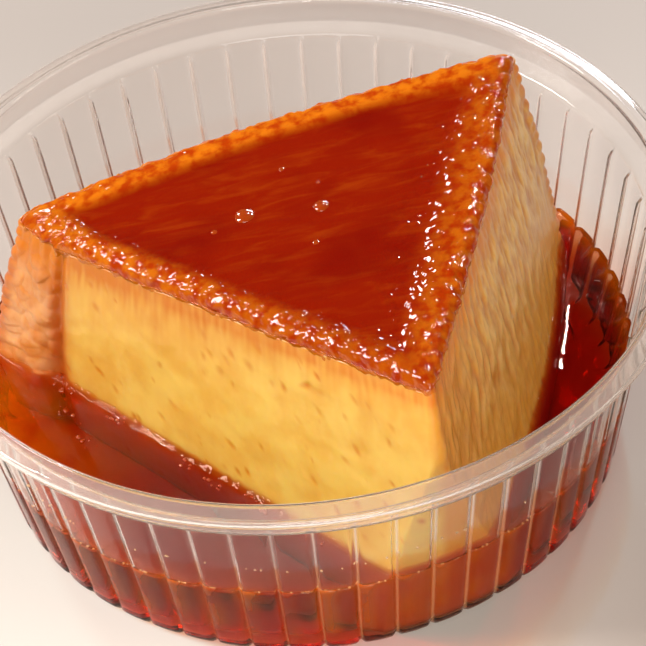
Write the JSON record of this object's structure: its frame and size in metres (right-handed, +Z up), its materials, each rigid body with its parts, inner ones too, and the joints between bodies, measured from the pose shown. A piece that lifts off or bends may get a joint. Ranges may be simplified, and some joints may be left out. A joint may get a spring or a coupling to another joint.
{
  "type": "creme caramel flan in a clear tub",
  "caption": "Wedge of set custard under a glossy caramel skin, standing in caramel syrup in a clear, round, fluted plastic tub with a snap rim.",
  "frame": {"origin": "middle of the tub's underside, on the surface it stands on", "axes": "+Z up, out of the tub's mouth; -Y towards the wedge's tip, the side the picture shows; +X to the picture's right"},
  "size_m": [0.1238, 0.1238, 0.0558],
  "materials": {
    "clear_plastic": "clear, colourless thermoformed sheet with a high gloss",
    "custard": "moist set custard, pale yellow, with small ochre pits",
    "caramel": "wet, glossy red-orange caramel skin with a lumpy rim",
    "syrup": "clear dark red-brown caramel syrup, mirror smooth"
  },
  "bodies": {
    "root": {"tub": "clear_plastic", "custard": "custard", "caramel_skin": "caramel", "syrup": "syrup"}
  },
  "joints": []
}
